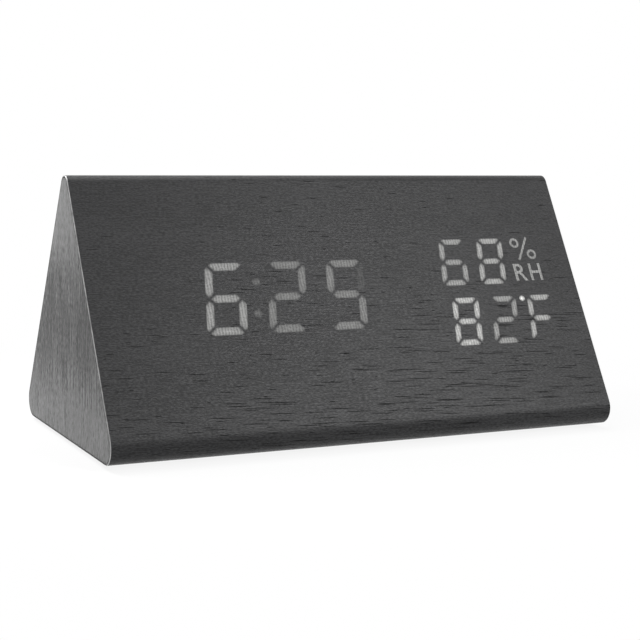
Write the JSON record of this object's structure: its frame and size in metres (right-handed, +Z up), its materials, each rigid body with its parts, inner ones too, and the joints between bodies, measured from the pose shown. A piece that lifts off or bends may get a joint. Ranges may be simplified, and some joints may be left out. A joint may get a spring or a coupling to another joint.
{
  "type": "desk clock",
  "caption": "Triangular-prism desk clock in black wood grain: time, humidity and temperature shine through the sloped front; buttons and inlet behind, battery bay below.",
  "frame": {"origin": "middle of the footprint, on the surface that the pads stand on", "axes": "+X along the length, to the right as seen from the front; -Y towards the viewer; +Z up"},
  "size_m": [0.15, 0.0784, 0.0718],
  "materials": {
    "woodgrain_film": "black wood-grain film, fine horizontal grain, satin",
    "end_facing": "grey-black wood-grain facing, upright grain, satin",
    "fibreboard": "raw fibreboard",
    "pad_foam": "soft black pad",
    "diffuser_sheet": "milky white sheet",
    "white_moulding": "white moulded plastic",
    "circuit_laminate": "green solder mask",
    "black_moulding": "black moulded plastic, fine spark texture",
    "black_epoxy": "black epoxy and nylon",
    "nickel_plate": "nickel-plated steel",
    "zinc_screw": "blackened zinc",
    "grey_ribbon": "grey flat lead",
    "red_sleeve": "red wire sleeve",
    "black_sleeve": "black wire sleeve"
  },
  "bodies": {
    "case": {"film_wrap": "woodgrain_film", "left_end_veneer": "end_facing", "right_end_veneer": "end_facing", "front_board": "fibreboard", "rear_board": "fibreboard", "base_board": "fibreboard", "left_end_panel": "fibreboard", "right_end_panel": "fibreboard", "foot_pad_front_left": "pad_foam", "foot_pad_front_right": "pad_foam", "foot_pad_rear_left": "pad_foam", "foot_pad_rear_right": "pad_foam", "display_diffuser": "diffuser_sheet", "display_reflector": "white_moulding", "display_socket": "white_moulding", "control_socket": "white_moulding", "humidity_sensor": "white_moulding", "display_board": "circuit_laminate", "control_board": "circuit_laminate", "rear_panel": "black_moulding", "battery_tray": "black_moulding", "display_driver_chip": "black_epoxy", "controller_chip": "black_epoxy", "buzzer": "black_epoxy", "usb_tongue": "black_epoxy", "set_switch": "black_epoxy", "up_switch": "black_epoxy", "down_switch": "black_epoxy", "usb_shell": "nickel_plate", "microphone": "nickel_plate", "negative_contact": "nickel_plate", "positive_contact": "nickel_plate", "bridge_contact": "nickel_plate", "negative_spring": "nickel_plate", "bridge_spring": "nickel_plate", "display_screw_1": "zinc_screw", "display_screw_2": "zinc_screw", "display_screw_3": "zinc_screw", "display_screw_4": "zinc_screw", "panel_screw_1": "zinc_screw", "panel_screw_2": "zinc_screw", "panel_screw_3": "zinc_screw", "panel_screw_4": "zinc_screw", "tray_screw_1": "zinc_screw", "tray_screw_2": "zinc_screw", "tray_screw_3": "zinc_screw", "tray_screw_4": "zinc_screw", "control_screw_1": "zinc_screw", "control_screw_2": "zinc_screw", "ribbon_cable": "grey_ribbon", "positive_lead": "red_sleeve", "negative_lead": "black_sleeve"},
    "set_key": {"set_button": "black_moulding", "set_plunger": "black_epoxy"},
    "up_key": {"up_button": "black_moulding", "up_plunger": "black_epoxy"},
    "down_key": {"down_button": "black_moulding", "down_plunger": "black_epoxy"},
    "battery_lid": {"battery_door": "black_moulding"}
  },
  "joints": [
    {"name": "set_press", "type": "slide", "parent": "case", "child": "set_key", "axis": [0, -0.8659, -0.5002], "range_m": [0, 0.0003], "stiffness_N_per_m": 600},
    {"name": "up_press", "type": "slide", "parent": "case", "child": "up_key", "axis": [0, -0.8659, -0.5002], "range_m": [0, 0.0003], "stiffness_N_per_m": 600},
    {"name": "down_press", "type": "slide", "parent": "case", "child": "down_key", "axis": [0, -0.8659, -0.5002], "range_m": [0, 0.0003], "stiffness_N_per_m": 600},
    {"name": "battery_lid_hinge", "type": "hinge", "parent": "case", "child": "battery_lid", "pos_m": [0, 0.0111, 0.0025], "axis": [1, 0, 0], "range_deg": [0, 95]}
  ]
}
